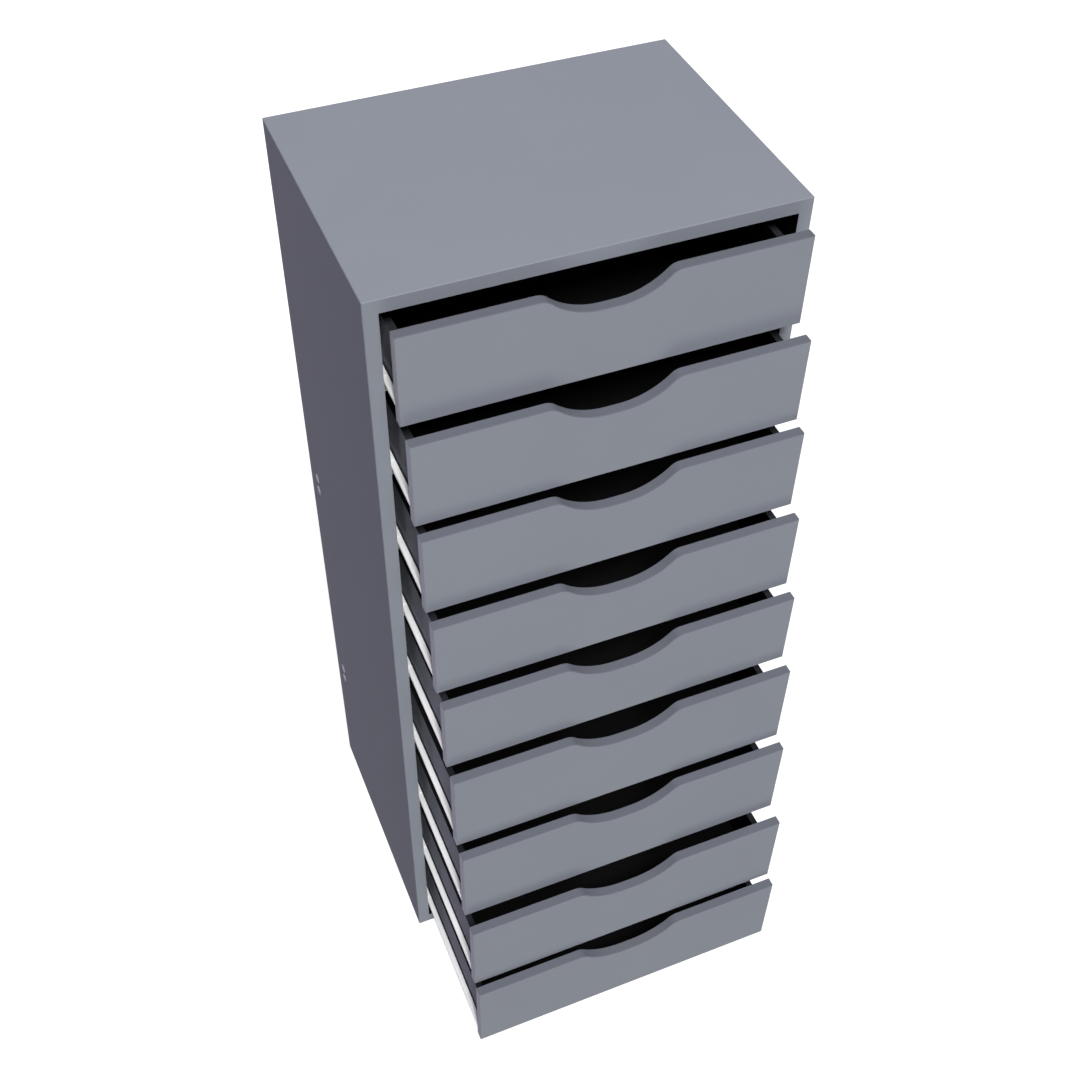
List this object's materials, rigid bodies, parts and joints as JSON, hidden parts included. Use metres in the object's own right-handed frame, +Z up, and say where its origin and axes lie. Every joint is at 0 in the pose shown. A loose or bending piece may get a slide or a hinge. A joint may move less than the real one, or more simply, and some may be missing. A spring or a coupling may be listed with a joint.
{
  "type": "drawer storage cabinet",
  "caption": "Tall narrow storage cabinet of lacquered board with shallow and deeper inset drawers, a wave-shaped finger cut in each front and steel slide runners.",
  "frame": {"origin": "on the floor, under the middle of the carcase footprint", "axes": "+X to the right as seen from the front, +Y to the back, +Z up"},
  "size_m": [0.3628, 0.4194, 0.864],
  "materials": {
    "lacquered_board": "satin blue-grey lacquer on fibreboard",
    "dark_hardboard": "matt dark grey hardboard",
    "white_steel": "white powder coat on bent sheet steel",
    "nylon": "off-white moulded nylon",
    "grey_cap": "matt grey moulded cap",
    "beech": "bare beech dowel"
  },
  "bodies": {
    "cabinet": {"left_side_panel": "lacquered_board", "right_side_panel": "lacquered_board", "top_panel": "lacquered_board", "bottom_panel": "lacquered_board", "back_panel": "dark_hardboard", "upper_back_rail": "lacquered_board", "lower_back_rail": "lacquered_board", "screw_caps": "grey_cap", "corner_dowels": "beech", "cabinet_channels": "white_steel", "channel_blocks": "nylon"},
    "drawer_1": {"drawer_1_front": "lacquered_board", "drawer_1_box": "lacquered_board", "drawer_1_bottom": "dark_hardboard", "drawer_1_runners": "white_steel", "drawer_1_blocks": "nylon"},
    "drawer_2": {"drawer_2_front": "lacquered_board", "drawer_2_box": "lacquered_board", "drawer_2_bottom": "dark_hardboard", "drawer_2_runners": "white_steel", "drawer_2_blocks": "nylon"},
    "drawer_3": {"drawer_3_front": "lacquered_board", "drawer_3_box": "lacquered_board", "drawer_3_bottom": "dark_hardboard", "drawer_3_runners": "white_steel", "drawer_3_blocks": "nylon"},
    "drawer_4": {"drawer_4_front": "lacquered_board", "drawer_4_box": "lacquered_board", "drawer_4_bottom": "dark_hardboard", "drawer_4_runners": "white_steel", "drawer_4_blocks": "nylon"},
    "drawer_5": {"drawer_5_front": "lacquered_board", "drawer_5_box": "lacquered_board", "drawer_5_bottom": "dark_hardboard", "drawer_5_runners": "white_steel", "drawer_5_blocks": "nylon"},
    "drawer_6": {"drawer_6_front": "lacquered_board", "drawer_6_box": "lacquered_board", "drawer_6_bottom": "dark_hardboard", "drawer_6_runners": "white_steel", "drawer_6_blocks": "nylon"},
    "drawer_7": {"drawer_7_front": "lacquered_board", "drawer_7_box": "lacquered_board", "drawer_7_bottom": "dark_hardboard", "drawer_7_runners": "white_steel", "drawer_7_blocks": "nylon"},
    "drawer_8": {"drawer_8_front": "lacquered_board", "drawer_8_box": "lacquered_board", "drawer_8_bottom": "dark_hardboard", "drawer_8_runners": "white_steel", "drawer_8_blocks": "nylon"},
    "drawer_9": {"drawer_9_front": "lacquered_board", "drawer_9_box": "lacquered_board", "drawer_9_bottom": "dark_hardboard", "drawer_9_runners": "white_steel", "drawer_9_blocks": "nylon"}
  },
  "joints": [
    {"name": "drawer_1_slide", "type": "slide", "parent": "cabinet", "child": "drawer_1", "axis": [0, -1, 0], "range_m": [-0.0286, 0.1434]},
    {"name": "drawer_2_slide", "type": "slide", "parent": "cabinet", "child": "drawer_2", "axis": [0, -1, 0], "range_m": [-0.048, 0.124]},
    {"name": "drawer_3_slide", "type": "slide", "parent": "cabinet", "child": "drawer_3", "axis": [0, -1, 0], "range_m": [-0.0621, 0.1099]},
    {"name": "drawer_4_slide", "type": "slide", "parent": "cabinet", "child": "drawer_4", "axis": [0, -1, 0], "range_m": [-0.0781, 0.0939]},
    {"name": "drawer_5_slide", "type": "slide", "parent": "cabinet", "child": "drawer_5", "axis": [0, -1, 0], "range_m": [-0.0941, 0.0779]},
    {"name": "drawer_6_slide", "type": "slide", "parent": "cabinet", "child": "drawer_6", "axis": [0, -1, 0], "range_m": [-0.1106, 0.0614]},
    {"name": "drawer_7_slide", "type": "slide", "parent": "cabinet", "child": "drawer_7", "axis": [0, -1, 0], "range_m": [-0.1258, 0.0462]},
    {"name": "drawer_8_slide", "type": "slide", "parent": "cabinet", "child": "drawer_8", "axis": [0, -1, 0], "range_m": [-0.146, 0.026]},
    {"name": "drawer_9_slide", "type": "slide", "parent": "cabinet", "child": "drawer_9", "axis": [0, -1, 0], "range_m": [-0.1584, 0.0136]}
  ]
}
